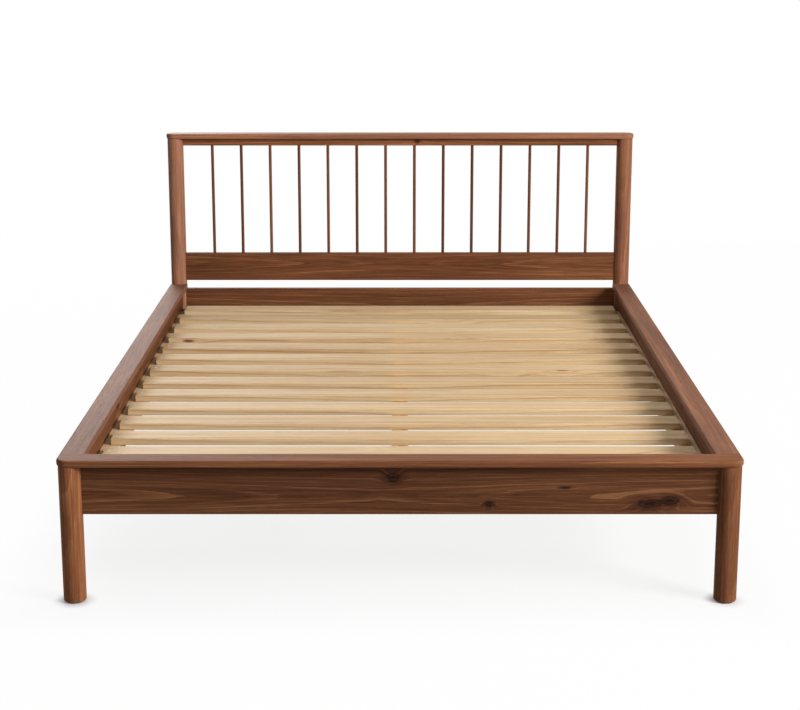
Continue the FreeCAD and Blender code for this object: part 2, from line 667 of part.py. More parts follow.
inserts = []
for name, y in CENTER_LEGS.items():
    center_leg = new_body(f"center_leg_{name}", "0", y)
    side = "sizes.center_leg_side / 2"
    section = new_sketch(center_leg, "XY_Plane", "sizes.center_leg_bottom")
    rectangle(section, f"-{side}", f"-{side}", side, side)
    pad(center_leg, section, "layout.beam_bottom - sizes.center_leg_bottom")
    round_edges(center_leg, "sizes.rail_ease", lambda box: not level(box))
    rods(center_leg, "XY_Plane", "layout.beam_bottom", [("0", "0")],
         "sizes.center_tenon_diameter", "sizes.center_tenon_length")
    drill(center_leg, "XY_Plane", "sizes.center_leg_bottom", [("0", "0")],
          "layout.insert_hole", "sizes.insert_length", True)
    drill(center_leg, "XY_Plane", "sizes.center_leg_bottom", [("0", "0")], "layout.bolt_hole",
          "sizes.stud_top + 2 * sizes.leveller_travel - sizes.center_leg_bottom", True)

    base = new_body(f"leveller_base_{name}", "0", y)
    rods(base, "XY_Plane", "0", [("0", "0")], "sizes.leveller_diameter", "sizes.leveller_rim")
    round_edges(base, "sizes.leveller_round", level)
    rods(base, "XY_Plane", "sizes.leveller_rim", [("0", "0")], "sizes.leveller_boss_diameter",
         "sizes.leveller_boss_top - sizes.leveller_rim")
    drill(base, "XY_Plane", "sizes.leveller_boss_top", [("0", "0")], "layout.thread_bore",
          "sizes.leveller_boss_top - sizes.leveller_floor")
    drill(base, "XY_Plane", "layout.socket_top", [("0", "0")],
          "sizes.stud_button_diameter + 2 * sizes.thread_gap", "layout.socket_top - sizes.leveller_floor")

    stud = new_body(f"leveller_stud_{name}", "0", y)
    rods(stud, "XY_Plane", "layout.button_bottom", [("0", "0")], "sizes.bolt_diameter",
         "sizes.stud_top - layout.button_bottom")
    rods(stud, "XY_Plane", "layout.button_bottom", [("0", "0")], "sizes.stud_button_diameter",
         "layout.button_height")
    collar = new_sketch(stud, "XY_Plane", "sizes.stud_hex_bottom")
    hexagon(collar, "sizes.bolt_head_across")
    pad(stud, collar, "sizes.stud_hex_height")

    insert = new_body(f"insert_{name}", "0", y, "sizes.center_leg_bottom", node=False)
    rods(insert, "XY_Plane", "0", [("0", "0")], "sizes.insert_diameter", "sizes.insert_length")
    drill(insert, "XY_Plane", "0", [("0", "0")], "layout.thread_bore",
          "sizes.insert_length", True)
    inserts.append(insert)

# Corner brackets: drawn at the left foot corner, measured from the leg's axis
bracket = new_body("corner_bracket", "-layout.leg_x", "-layout.leg_y", "layout.bracket_bottom", node=False)
strip = new_sketch(bracket, "XY_Plane")
half_strip = [
    ("sizes.bracket_web_start", "layout.rail_inner"), ("sizes.bracket_reach", "layout.rail_inner"),
    ("sizes.bracket_reach", "layout.bracket_face"), ("layout.bracket_bend", "layout.bracket_face"),
]
polygon(strip, half_strip + [(y, x) for x, y in reversed(half_strip)])
pad(bracket, strip, "layout.bracket_height")
tip = value("sizes.bracket_reach")
round_edges(bracket, "sizes.bracket_corner_round",
            lambda box: level(box) and (near(box.XMin, tip) or near(box.YMin, tip)))
round_edges(bracket, "sizes.bracket_sheet",
            lambda box: near(box.ZLength, value("layout.bracket_height")))
spots = [
    ("layout.bracket_screw", f"layout.bracket_height / 2 {sign} sizes.bracket_screw_spread")
    for sign in "+-"
]
drill(bracket, "XZ_Plane", "-layout.bracket_face", spots, "layout.screw_hole", "sizes.bracket_sheet", True)
drill(bracket, "YZ_Plane", "layout.bracket_face", spots, "layout.screw_hole", "sizes.bracket_sheet")
hole = new_sketch(bracket, "XZ_Plane")
hole.AttachmentOffset = FreeCAD.Placement(FreeCAD.Vector(), FreeCAD.Rotation(ALONG, -45))
circles(hole, [("0", "layout.bracket_height / 2")], "layout.bolt_hole")
pocket(bracket, hole, "layout.web_seat + sizes.cut_past")
four_corners("corner_brackets", bracket)

bracket_screws = new_body("bracket_screw_set", "-layout.leg_x", "-layout.leg_y", "layout.bracket_bottom",
                          node=False)
SHEET_FACES = (
    ("XZ_Plane", "-layout.bracket_face", False),
    ("YZ_Plane", "layout.bracket_face", True),
)
for plane, offset, into in SHEET_FACES:
    rods(bracket_screws, plane, offset, spots, "sizes.screw_diameter",
         "sizes.bracket_sheet + sizes.screw_bite", into)
    rods(bracket_screws, plane, offset, spots, "sizes.screw_head_diameter",
         "sizes.screw_head_height", not into)
four_corners("bracket_screws", bracket_screws, hanger_screw_sets)

# Corner bolts and their inserts lie on the diagonal through the leg's axis
DIAGONAL = FreeCAD.Rotation(FreeCAD.Vector(0, 0, 1), 45)
bolt = new_body("corner_bolt", "-layout.leg_x", "-layout.leg_y", "layout.bracket_middle", node=False)
bolt.Placement.Rotation = DIAGONAL
rods(bolt, "YZ_Plane", "sizes.bolt_tip", [("0", "0")],
     "sizes.bolt_diameter", "layout.web_seat - sizes.bolt_tip")
head = new_sketch(bolt, "YZ_Plane", "layout.web_seat")
hexagon(head, "sizes.bolt_head_across")
pad(bolt, head, "sizes.bolt_head_height")
four_corners("corner_bolts", bolt)

leg_insert = new_body("leg_insert", "-layout.leg_x", "-layout.leg_y", "layout.bracket_middle", node=False)
leg_insert.Placement.Rotation = DIAGONAL
rods(leg_insert, "YZ_Plane", "layout.insert_start", [("0", "0")],
     "sizes.insert_diameter", "sizes.insert_length")
drill(leg_insert, "YZ_Plane", "layout.insert_start", [("0", "0")],
      "layout.thread_bore", "sizes.insert_length", True)
four_corners("threaded_inserts", leg_insert, inserts)

doc.recompute()

# Nothing is written unless every object came out sound
for item in doc.Objects:
    if "Invalid" in item.State or "Error" in item.State:
        raise RuntimeError(f"{item.Label}: {item.State}")
for item in nodes:
    if item.Shape.isNull() or not item.Shape.isValid() or not item.Shape.Solids:
        raise RuntimeError(f"{item.Label}: no sound solid")

os.makedirs("parts", exist_ok=True)
for item in nodes:
    item.Shape.exportStep(f"parts/{item.Label}.step")
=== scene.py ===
import math

import bmesh
import bpy
import numpy as np
from mathutils import Matrix, Vector


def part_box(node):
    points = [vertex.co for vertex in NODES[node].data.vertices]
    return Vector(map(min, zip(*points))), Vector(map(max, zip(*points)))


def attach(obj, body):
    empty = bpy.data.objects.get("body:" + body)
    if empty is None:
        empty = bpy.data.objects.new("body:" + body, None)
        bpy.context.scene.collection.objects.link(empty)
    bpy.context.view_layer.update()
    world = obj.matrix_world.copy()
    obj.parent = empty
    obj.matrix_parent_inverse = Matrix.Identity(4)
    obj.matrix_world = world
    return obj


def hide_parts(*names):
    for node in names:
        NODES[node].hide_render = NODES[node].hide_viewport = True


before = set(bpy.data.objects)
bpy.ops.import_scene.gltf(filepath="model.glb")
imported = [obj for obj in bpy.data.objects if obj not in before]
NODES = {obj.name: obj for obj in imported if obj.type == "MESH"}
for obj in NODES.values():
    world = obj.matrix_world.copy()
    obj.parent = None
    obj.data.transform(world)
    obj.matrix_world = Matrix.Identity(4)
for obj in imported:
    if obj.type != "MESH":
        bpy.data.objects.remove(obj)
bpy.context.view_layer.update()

scene = bpy.context.scene


# Linear share of light for a colour value from 0 to 255
def linear(value):
    share = value / 255
    return ((share + 0.055) / 1.055) ** 2.4 if share > 0.04045 else share / 12.92


def rgb(red, green, blue):
    return linear(red), linear(green), linear(blue), 1.0


# Short calls for building a node tree
class Nodes:
    def __init__(self, tree):
        self.tree = tree
        tree.nodes.clear()

    def add(self, kind, **settings):
        node = self.tree.nodes.new("ShaderNode" + kind)
        for key, setting in settings.items():
            setattr(node, key, setting)
        return node

    def put(self, socket, value):
        if isinstance(value, bpy.types.NodeSocket):
            self.tree.links.new(value, socket)
        else:
            socket.default_value = value

    def math(self, operation, *values):
        node = self.add("Math", operation=operation)
        for socket, value in zip(node.inputs, values):
            self.put(socket, value)
        return node.outputs[0]

    # Length of the step that two numbers at right angles make
    def length(self, first, second):
        squares = (self.math("POWER", number, 2.0) for number in (first, second))
        return self.math("SQRT", self.math("ADD", *squares))

    def span(self, value, low, high, to_low=0.0, to_high=1.0):
        node = self.add("MapRange", interpolation_type="SMOOTHSTEP")
        for socket, number in zip(node.inputs, (value, low, high, to_low, to_high)):
            self.put(socket, number)
        return node.outputs[0]

    def join(self, x, y, z):
        node = self.add("CombineXYZ")
        for socket, value in zip(node.inputs, (x, y, z)):
            self.put(socket, value)
        return node.outputs[0]

    def split(self, vector):
        node = self.add("SeparateXYZ")
        self.put(node.inputs[0], vector)
        return node.outputs

    def scaled(self, vector, factors):
        node = self.add("VectorMath", operation="MULTIPLY")
        self.put(node.inputs[0], vector)
        node.inputs[1].default_value = factors
        return node.outputs[0]

    # Point in the object's own frame, which is the frame of the part
    def point(self):
        return self.add("TexCoord").outputs["Object"]

    def noise(self, vector, factors, detail=2.0, roughness=0.5):
        node = self.add("TexNoise")
        self.put(node.inputs["Vector"], self.scaled(vector, factors))
        node.inputs["Scale"].default_value = 1.0
        node.inputs["Detail"].default_value = detail
        node.inputs["Roughness"].default_value = roughness
        return node.outputs["Fac"]

    # Noise about zero that reaches half a width to either side
    def swing(self, width, vector, factors, detail=2.0, roughness=0.5):
        centred = self.math("SUBTRACT", self.noise(vector, factors, detail, roughness), 0.5)
        return self.math("MULTIPLY", centred, width)

    # Uneven bands along one number, as growth rings have
    def bands(self, number, detail, roughness):
        node = self.add("TexNoise", noise_dimensions="1D")
        self.put(node.inputs["W"], number)
        node.inputs["Scale"].default_value = 1.0
        node.inputs["Detail"].default_value = detail
        node.inputs["Roughness"].default_value = roughness
        return node.outputs["Fac"]

    # One value between 0 and 1 for each number
    def chance(self, number):
        node = self.add("TexWhiteNoise", noise_dimensions="1D")
        self.put(node.inputs["W"], number)
        return node.outputs["Value"]

    def ramp(self, factor, stops):
        node = self.add("ValToRGB")
        elements = node.color_ramp.elements
        while len(elements) < len(stops):
            elements.new(1.0)
        for element, (position, color) in zip(elements, stops):
            element.position = position
            element.color = color
        self.put(node.inputs[0], factor)
        return node.outputs[0]

    def mix(self, factor, first, second):
        node = self.add("Mix", data_type="RGBA")
        self.put(node.inputs["Factor"], factor)
        self.put(node.inputs[6], first)
        self.put(node.inputs[7], second)
        return node.outputs[2]

    # 1 for what the camera and mirrors see, 0 for the light that falls on things
    def seen(self):
        rays = self.add("LightPath").outputs
        mirrored = self.math("MAXIMUM", rays["Is Glossy Ray"], rays["Is Transmission Ray"])
        return self.math("MAXIMUM", rays["Is Camera Ray"], mirrored)


class Shader(Nodes):
    def __init__(self, name):
        self.material = bpy.data.materials.new(name)
        self.material.use_nodes = True
        super().__init__(self.material.node_tree)

    # Share of a point's worn edge: how far the rounded normal turns from the true one
    def wear(self, radius):
        bevel = self.add("Bevel", samples=4)
        bevel.inputs["Radius"].default_value = radius
        geometry = self.add("NewGeometry")
        dot = self.add("VectorMath", operation="DOT_PRODUCT")
        self.put(dot.inputs[0], bevel.outputs[0])
        self.put(dot.inputs[1], geometry.outputs["Normal"])
        return self.span(dot.outputs["Value"], 0.99, 0.8)

    def bump(self, height, distance):
        node = self.add("Bump")
        node.inputs["Distance"].default_value = distance
        self.put(node.inputs["Height"], height)
        return node.outputs[0]

    def finish(self, closure):
        self.put(self.add("OutputMaterial").inputs[0], closure)
        return self.material

    def surface(self, normal, **inputs):
        shader = self.add("BsdfPrincipled")
        for key, value in inputs.items():
            self.put(shader.inputs[key.replace("_", " ")], value)
        self.put(shader.inputs["Normal"], normal)
        return self.finish(shader.outputs[0])


# Colours of the stained frame, of the bare deck boards and of the dowels
STAINED = dict(
    early=rgb(164, 110, 73),
    middle=rgb(121, 75, 48),
    late=rgb(72, 40, 23),
    knot=rgb(38, 21, 13),
    worn=rgb(172, 122, 86),
)
BARE = dict(
    early=rgb(216, 190, 152),
    middle=rgb(203, 172, 130),
    late=rgb(170, 131, 92),
    knot=rgb(110, 70, 42),
    worn=rgb(226, 204, 170),
)
BEECH = dict(
    early=rgb(222, 186, 146),
    middle=rgb(208, 168, 126),
    late=rgb(190, 146, 102),
    knot=rgb(150, 105, 70),
    worn=rgb(226, 194, 156),
)

# Which way the grain runs, as the order in which a point's coordinates become along, across and through
GRAIN = {"X": (0, 1, 2), "Y": (1, 0, 2), "Z": (2, 1, 0), "ROW": (2, 0, 1)}


# The same colours, darker or lighter by one factor and faded by an even share of white
def toned(colors, factor, fade=0.0):
    return {key: tuple(factor * c + fade for c in color[:3]) + (1.0,) for key, color in colors.items()}


# Named knots as (along, through, radius, stretch): they push the rings aside, with a dark bark ring round
# a brown inside and a dark eye. Returns the rings' radius, the share of knot and the share of dark halo
def add_knots(s, knots, along, through, radius, ragged):
    core = 0.0
    halo = 0.0
    for knot_along, knot_through, size, stretch in knots:
        du = s.math("DIVIDE", s.math("SUBTRACT", along, knot_along), stretch)
        dw = s.math("SUBTRACT", through, knot_through)
        away = s.length(du, dw)
        radius = s.math("ADD", radius, s.math("MULTIPLY", s.span(away, 3.2 * size, 0.0), 1.4 * size))
        away = s.math("ADD", away, s.math("MULTIPLY", ragged, 1.5 * size))
        off_bark = s.math("ABSOLUTE", s.math("SUBTRACT", away, 0.9 * size))
        bark = s.span(off_bark, 0.3 * size, 0.05 * size, 0.0, 0.8)
        eye = s.span(away, 0.65 * size, 0.3 * size)
        waves = s.math("SINE", s.math("MULTIPLY", away, 14 / size))
        inside = s.math("MULTIPLY", s.span(away, 1.1 * size, 0.8 * size),
                        s.math("MULTIPLY_ADD", waves, 0.15, 0.4))
        core = s.math("MAXIMUM", s.math("MAXIMUM", core, bark), s.math("MAXIMUM", eye, inside))
        halo = s.math("MAXIMUM", halo, s.span(away, 2.8 * size, 0.8 * size))
    return radius, core, halo


# Knots of a given size strewn over bare boards
def strew_knots(s, size, point, radius, core, ragged):
    cells = s.add("TexVoronoi")
    s.put(cells.inputs["Vector"], s.scaled(point, (2.4, 9.0, 9.0)))
    cells.inputs["Scale"].default_value = 1.0
    spot = s.math("ADD", cells.outputs["Distance"], s.math("MULTIPLY", ragged, 0.06))
    radius = s.math("ADD", radius, s.span(spot, 0.35, 0.0, 0.0, 0.012))
    core = s.math("MAXIMUM", core, s.span(spot, size, 0.4 * size))
    return radius, core


# Sawn wood whose rings run round a pith line beside the board, which bends at the heart.
# With a pitch, each board of a row gets grain and tone of its own
def wood(name, colors, grain, center, pith, seed, ring=0.006, taper=0.02, heart=0.0, wander=0.005,
         contrast=1.0, line=-0.42, streaks=1.0, gloss=0.6, shine=0.06, knots=(), random_knots=0.0,
         pitch=None):
    s = Shader(name)
    parts = s.split(s.point())
    along, across, through = (s.math("SUBTRACT", parts[i], center[i]) for i in GRAIN[grain])
    shift = 3.7 * seed
    board_tone = 0.05
    if pitch:
        board = s.math("ROUND", s.math("DIVIDE", across, pitch))
        across = s.math("SUBTRACT", across, s.math("MULTIPLY", board, pitch))
        shift = s.math("ADD", s.math("MULTIPLY", board, 1.37), shift)
        board_tone = s.math("SUBTRACT", s.math("MULTIPLY", s.chance(shift), 0.3), 0.1)
    point = s.join(s.math("ADD", along, shift), s.math("ADD", across, shift), through)

    # Distance from the pith, which wanders along the board and swells round knots
    drift = s.swing(2 * wander, point, (1.3, 2.0, 2.0))
    sway = s.swing(2 * wander, point, (2.6, 9.0, 9.0))
    lean = s.math("MULTIPLY", s.math("ABSOLUTE", s.math("SUBTRACT", along, heart)), taper)
    depth = s.math("ADD", s.math("SUBTRACT", across, pith[0]), s.math("ADD", drift, lean))
    side = s.math("ADD", s.math("SUBTRACT", through, pith[1]), sway)
    ragged = s.swing(1.0, point, (40, 260, 260), 3.0, 0.65)
    radius, core, halo = add_knots(s, knots, along, through, s.length(depth, side), ragged)
    if random_knots:
        radius, core = strew_knots(s, random_knots, point, radius, core, ragged)

    # Growth rings of uneven strength, each ending in a thin line of late wood
    wobble = s.math("MULTIPLY", s.noise(point, (5.0, 60.0, 60.0), 3.0, 0.6), 0.7)
    rings = s.math("ADD", s.math("DIVIDE", radius, ring), wobble)
    growth = s.bands(rings, 5.0, 0.75)
    phase = s.math("FRACT", rings)
    strength = s.math("POWER", s.chance(s.math("FLOOR", rings)), 1.8)
    late = s.math("MULTIPLY", s.span(phase, 0.4, 0.94), s.span(phase, 1.0, 0.95))
    late = s.math("MULTIPLY", late, strength)

    # Finer and broader marks along the grain
    fibre = s.noise(point, (14.0, 900.0, 900.0), 3.0, 0.65)
    streak = s.noise(point, (3.2, 210.0, 210.0), 5.0, 0.75)
    pores = s.span(s.noise(point, (45.0, 1500.0, 1500.0)), 0.62, 0.72)
    cloud = s.noise(point, (1.6, 8.0, 8.0), 3.0)
    belt = s.noise(point, (0.9, 26.0, 26.0), 3.0, 0.6)

    # Each mark, its usual value and how far it moves the tone towards dark
    marks = (
        (late, 0.15, line * contrast),
        (growth, 0.5, 0.6 * contrast),
        (cloud, 0.5, 0.5 * contrast),
        (belt, 0.5, 0.7 * contrast),
        (streak, 0.5, 1.2 * streaks),
        (fibre, 0.5, 0.6 * streaks),
        (pores, 0.0, 0.12),
        (halo, 0.0, 0.3),
    )
    tone = s.math("ADD", board_tone, 0.4)
    for mark, mean, weight in marks:
        tone = s.math("MULTIPLY_ADD", s.math("SUBTRACT", mark, mean), weight, tone)
    color = s.ramp(tone, ((0.05, colors["early"]), (0.42, colors["middle"]), (0.9, colors["late"])))
    core = s.math("MULTIPLY", core, s.span(streak, 0.75, 0.5, 0.65, 1.0))
    color = s.mix(core, color, colors["knot"])
    rubbed = s.math("MULTIPLY", s.wear(0.0025), s.math("MULTIPLY", fibre, 0.7))
    color = s.mix(rubbed, color, colors["worn"])
    rough = s.math("ADD", s.math("MULTIPLY", fibre, 0.14), s.math("MULTIPLY", late, 0.05))
    rough = s.math("ADD", rough, gloss - 0.07)
    sunk = s.math("ADD", pores, s.math("MULTIPLY", late, 0.3))
    height = s.math("SUBTRACT", s.math("MULTIPLY", fibre, 0.6), sunk)
    return s.surface(s.bump(height, 0.00025), Base_Color=color, Roughness=rough, Specular_IOR_Level=shine)


# Black powder coat: fine orange-peel bump, faint speckle and bare steel showing on worn edges
def powder_coat(name):
    s = Shader(name)
    point = s.point()
    peel = s.noise(point, (900, 900, 900), 3.0)
    speck = s.span(s.noise(point, (2600, 2600, 2600), 1.0), 0.6, 0.75)
    scuff = s.math("MULTIPLY", s.wear(0.0008), s.span(s.noise(point, (120, 120, 120), 4.0), 0.45, 0.7))
    color = s.mix(s.math("MULTIPLY", speck, 0.3), rgb(30, 30, 31), rgb(52, 52, 54))
    color = s.mix(s.math("MULTIPLY", scuff, 0.6), color, rgb(120, 118, 114))
    roughness = s.math("ADD", 0.42, s.math("MULTIPLY", peel, 0.2))
    return s.surface(s.bump(peel, 0.0002), Base_Color=color, Roughness=roughness)


# Zinc plate: turned streaks, cloudy passivation and rubbed rims
def zinc(name):
    s = Shader(name)
    point = s.point()
    cloud = s.noise(point, (160, 160, 160), 3.0)
    streak = s.noise(point, (400, 400, 4000))
    color = s.ramp(cloud, ((0.3, rgb(150, 148, 140)), (0.5, rgb(182, 180, 172)), (0.7, rgb(196, 190, 168))))
    color = s.mix(s.math("MULTIPLY", s.wear(0.0004), 0.5), color, rgb(222, 220, 214))
    roughness = s.math("ADD", 0.24, s.math("MULTIPLY", streak, 0.22))
    return s.surface(s.bump(streak, 0.00004), Base_Color=color, Metallic=1.0, Roughness=roughness)


# Moulded black plastic with a fine spark-eroded texture and pale scuffs on its rims
def plastic(name):
    s = Shader(name)
    point = s.point()
    grain = s.noise(point, (1400, 1400, 1400))
    dust = s.noise(point, (70, 70, 70), 4.0)
    color = s.ramp(dust, ((0.35, rgb(26, 26, 27)), (0.7, rgb(44, 44, 45))))
    color = s.mix(s.math("MULTIPLY", s.wear(0.0006), 0.35), color, rgb(96, 95, 92))
    roughness = s.math("ADD", 0.44, s.math("MULTIPLY", grain, 0.2))
    return s.surface(s.bump(grain, 0.0001), Base_Color=color, Roughness=roughness)


# A CAD node takes one material on all its faces
def dress(node, material):
    mesh = NODES[node].data
    mesh.materials.clear()
    mesh.materials.append(material)


def middle(node):
    low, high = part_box(node)
    return (Vector(low) + Vector(high)) / 2


# Distance between the middles of the first two boards of a row
def pitch_of(row, axis):
    return middle(row + "_02")[axis] - middle(row + "_01")[axis]


# Frame boards: tone of the stain, its fading, and the look of the wood. The tones are partly the stain and
# partly painted light and shade: the foot rail and the foot cap are darkened for the shade that falls on
# them
FOOT_RAIL_KNOTS = (
    (-0.017, 0.032, 0.0098, 1.6),
    (0.216, -0.036, 0.0062, 1.4),
    (0.607, -0.034, 0.0105, 2.7),
    (0.655, -0.0275, 0.0095, 2.4),
    (0.402, 0.006, 0.003, 4.0),
)
UPPER_RAIL_KNOTS = ((0.062, 0.002, 0.005, 1.6),)
SIDE_RAIL_KNOTS = ((-0.42, 0.03, 0.006, 1.6), (0.55, -0.028, 0.008, 3.0))
FOOT_RAIL = dict(grain="X", pith=(0.0416, -0.014), ring=0.0062, heart=-0.05, wander=0.003, contrast=1.25,
                 knots=FOOT_RAIL_KNOTS)
CROSS_CAP = dict(grain="X", pith=(0.012, -0.05), contrast=0.7)
SIDE_CAP = dict(CROSS_CAP, grain="Y")
POST = dict(grain="Z", pith=(0.02, 0.004))
LEG = dict(POST, taper=0.045, contrast=0.6)
BOARDS = {
    # Foot rail: its low tone is darker stain plus painted shade from the cap above it
    "foot_rail": (0.54, 0.0, FOOT_RAIL),
    "headboard_cross_rail": (0.8, 0.0, dict(grain="X", pith=(0.045, -0.004))),
    "headboard_lower_rail": (0.8, 0.0, dict(grain="X", pith=(0.05, 0.012))),
    "headboard_upper_rail": (1.22, 0.0, dict(grain="X", pith=(0.04, 0.03), knots=UPPER_RAIL_KNOTS)),
    # Foot cap: its tone holds painted shade on its top as well as the stain
    "foot_cap": (0.87, 0.0, CROSS_CAP),
    "headboard_cap": (1.47, 0.025, CROSS_CAP),
    "side_rail_left": (0.7, 0.0, dict(grain="Y", pith=(-0.045, 0.01), knots=SIDE_RAIL_KNOTS)),
    "side_rail_right": (0.7, 0.0, dict(grain="Y", pith=(0.045, -0.01), knots=SIDE_RAIL_KNOTS)),
    "side_cap_left": (0.95, 0.02, SIDE_CAP),
    "side_cap_right": (0.95, 0.02, SIDE_CAP),
    "foot_leg_left": (1.2, 0.0, dict(LEG, heart=0.3)),
    "foot_leg_right": (0.75, 0.0, dict(LEG, heart=0.4)),
    "headboard_post_left": (1.5, 0.04, dict(POST, heart=-0.6, contrast=0.7)),
    "headboard_post_right": (1.12, 0.015, dict(POST, heart=0.35, contrast=0.6)),
}
for seed, (node, (tone, fade, look)) in enumerate(BOARDS.items(), start=1):
    dress(node, wood("stained_" + node, toned(STAINED, tone, fade), center=middle(node), seed=seed, **look))

# Every other node takes the material of the longest key that its name starts with
ROD_LOOK = dict(contrast=0.4, streaks=0.45, pitch=pitch_of("spindle", 0))
BARE_LOOK = dict(gloss=0.62, shine=0.15, line=0.4)
KNOTTY_LOOK = dict(BARE_LOOK, random_knots=0.06)
SLAT_LOOK = dict(BARE_LOOK, random_knots=0.07, pitch=pitch_of("slat", 1))
ZINC = zinc("zinc_plate")
BLACK_STEEL = powder_coat("powder_coat")
BLACK_PLASTIC = plastic("moulded_plastic")
MATERIALS = {
    "spindle": wood("stained_spindles", toned(STAINED, 0.75), "ROW", middle("spindle_01"), (0.03, 0.02), 31,
                    **ROD_LOOK),
    "slat_ledger": wood("bare_ledgers", BARE, "Y", (0, 0, 0.26), (0.03, -0.05), 32, **KNOTTY_LOOK),
    "slat": wood("bare_slats", BARE, "X", middle("slat_01"), (0.02, -0.06), 33, **SLAT_LOOK),
    "center_beam": wood("bare_beam", BARE, "Y", (0, 0, 0.25), (0.03, -0.06), 34, **KNOTTY_LOOK),
    "center_leg": wood("bare_center_legs", BARE, "Z", (0, 0, 0.13), (0.03, 0.05), 35, **BARE_LOOK),
    "cap_dowels": wood("beech_dowels", BEECH, "Z", (0, 0, 0.5), (0.2, 0.3), 36, **BARE_LOOK),
    "corner_brackets": BLACK_STEEL,
    "beam_hangers": BLACK_STEEL,
    "leveller_base": BLACK_PLASTIC,
    "leg_glides": BLACK_PLASTIC,
    "leveller_stud": ZINC,
    "threaded_inserts": ZINC,
    "corner_bolts": ZINC,
    "bracket_screws": ZINC,
    "ledger_screws": ZINC,
    "slat_screws": ZINC,
}
for node in NODES:
    if node not in BOARDS:
        longest = max((key for key in MATERIALS if node.startswith(key)), key=len)
        dress(node, MATERIALS[longest])

# Edges that turn by more than this stay crisp
SHARP_ANGLE = math.radians(32)


# A new steel piece from mesh code: it rides on a body and stands for a CAD node
def piece(name, bm, body, node):
    bmesh.ops.recalc_face_normals(bm, faces=bm.faces)
    mesh = bpy.data.meshes.new(name)
    bm.to_mesh(mesh)
    bm.free()
    mesh.materials.append(ZINC)
    mesh.set_sharp_from_angle(angle=SHARP_ANGLE)
    thing = bpy.data.objects.new(name, mesh)
    scene.collection.objects.link(thing)
    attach(thing, body)
    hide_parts(node)


# Each screw of a node as its head's outer point, its direction into the wood and its length
def screws_of(node):
    bm = bmesh.new()
    bm.from_mesh(NODES[node].data)
    bmesh.ops.remove_doubles(bm, verts=bm.verts, dist=1e-6)
    left = set(bm.verts)
    found = []
    while left:
        island = [left.pop()]
        for vert in island:
            for edge in vert.link_edges:
                other = edge.other_vert(vert)
                if other in left:
                    left.remove(other)
                    island.append(other)
        points = np.array([vert.co for vert in island])
        center = (points.min(axis=0) + points.max(axis=0)) / 2
        axis = np.eye(3)[np.argmax(np.ptp(points, axis=0))]
        reach = (points - center) @ axis
        spread = np.linalg.norm(points - center - np.outer(reach, axis), axis=1)
        if reach[np.argmax(spread)] > 0:
            axis = -axis
        found.append((Vector(center - axis * np.ptp(reach) / 2), Vector(axis), float(np.ptp(reach))))
    bm.free()
    return sorted(found, key=lambda screw: tuple(screw[0]))


# Ring of points at one height
def circle(bm, radius, z, count):
    angles = (2 * math.pi * i / count for i in range(count))
    return [bm.verts.new((radius * math.cos(a), radius * math.sin(a), z)) for a in angles]


def bridge(bm, lower, upper):
    count = len(lower)
    for i in range(count):
        j = (i + 1) % count
        bm.faces.new((lower[i], lower[j], upper[j], upper[i]))


# Wood screw: a head with a broken edge and a cross recess, a plain shank and a point, in metres
HEAD_RADIUS = 0.0045
HEAD_HEIGHT = 0.0025
HEAD_TOP_RADIUS = 0.00387
HEAD_EDGE = 0.0005
SHANK_RADIUS = 0.00225
POINT_RADIUS = 0.00045
POINT_LENGTH = 0.004
CROSS_HALF = 0.0026
CROSS_ARM = 0.0006
CROSS_DEPTH = 0.0016
CROSS_FLOOR_HALF = 0.00143
CROSS_FLOOR_ARM = 0.00042

# Points round a screw, and the turn from one screw's cross to the next in radians
TURN_STEPS = 24
TURN_BETWEEN = 1.1


# Corners of a cross recess at one depth
def cross(bm, half, arm, z):
    corners = []
    for quarter in range(4):
        turn = Matrix.Rotation(quarter * math.pi / 2, 2)
        corners += [turn @ Vector(corner) for corner in ((half, -arm), (half, arm), (arm, arm))]
    return [bm.verts.new((corner.x, corner.y, z)) for corner in corners]


# The screw is built with its head at the origin, running up +Z, and then put in its place
def add_screw(bm, place, length):
    start = len(bm.verts)
    rim = circle(bm, HEAD_TOP_RADIUS, 0.0, TURN_STEPS)
    shoulder = circle(bm, HEAD_RADIUS, HEAD_EDGE, TURN_STEPS)
    under = circle(bm, HEAD_RADIUS, HEAD_HEIGHT, TURN_STEPS)
    neck = circle(bm, SHANK_RADIUS, HEAD_HEIGHT, TURN_STEPS)
    tip = circle(bm, SHANK_RADIUS, length - POINT_LENGTH, TURN_STEPS)
    point = circle(bm, POINT_RADIUS, length, TURN_STEPS)
    rings = (rim, shoulder, under, neck, tip, point)
    for lower, upper in zip(rings, rings[1:]):
        bridge(bm, lower, upper)
    bm.faces.new(point)
    mouth = cross(bm, CROSS_HALF, CROSS_ARM, 0.0)
    bottom = cross(bm, CROSS_FLOOR_HALF, CROSS_FLOOR_ARM, CROSS_DEPTH)
    bridge(bm, mouth, bottom)
    bm.faces.new(bottom)
    edges = [bm.edges.get((loop[i], loop[i - 1])) for loop in (rim, mouth) for i in range(len(loop))]
    bmesh.ops.triangle_fill(bm, edges=edges, use_beauty=True)
    bm.verts.ensure_lookup_table()
    bmesh.ops.transform(bm, matrix=place, verts=bm.verts[start:])


for node in ("slat_screws", "ledger_screws", "bracket_screws"):
    bm = bmesh.new()
    for number, (head, axis, length) in enumerate(screws_of(node)):
        aim = axis.to_track_quat("Z", "Y").to_matrix().to_4x4()
        turn = Matrix.Rotation(TURN_BETWEEN * number, 4, "Z")
        add_screw(bm, Matrix.Translation(head) @ aim @ turn, length)
    piece(node + "_driven", bm, "frame", node)

# Stud of a levelling foot: a button in the base's socket, a hex collar and a screw thread, in metres
STUD_RADIUS = 0.004
STUD_TIP_RADIUS = 0.0032
BUTTON_RADIUS = 0.005
BUTTON_HEIGHT = 0.0049
COLLAR_BOTTOM = 0.014
COLLAR_TOP = 0.02
COLLAR_ACROSS = 0.013
COLLAR_EDGE = 0.0007
PITCH = 0.00125
THREAD_DEPTH = 0.00055
PLAIN_END = 0.001

